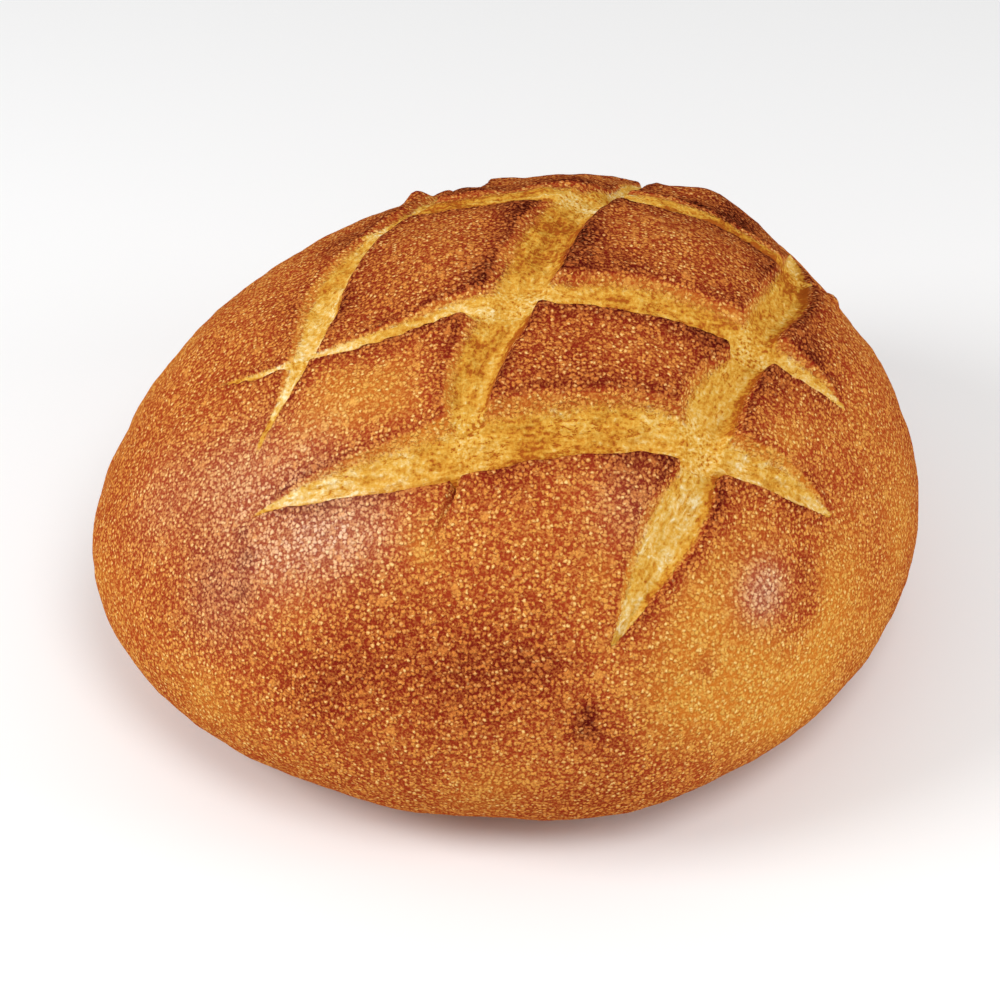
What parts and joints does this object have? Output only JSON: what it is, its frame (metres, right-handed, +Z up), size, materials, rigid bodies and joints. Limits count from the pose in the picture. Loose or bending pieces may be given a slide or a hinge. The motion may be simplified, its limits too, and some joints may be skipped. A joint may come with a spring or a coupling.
{
  "type": "sourdough loaf",
  "caption": "Round hearth-baked sourdough loaf with a high dome, a flat base and a lattice of opened slashes across its crust.",
  "frame": {"origin": "middle of the flat base, under the middle of the loaf's box", "axes": "+Z up from the base to the crown; -Y is the front, where the open slashes face; +X is to the right seen from the front"},
  "size_m": [0.2436, 0.2422, 0.1269],
  "materials": {
    "baked_crust": "golden-brown blistered baked crust, slightly glossy, with pale yellow torn crumb in the slashes"
  },
  "bodies": {
    "root": {"loaf": "baked_crust"}
  },
  "joints": []
}
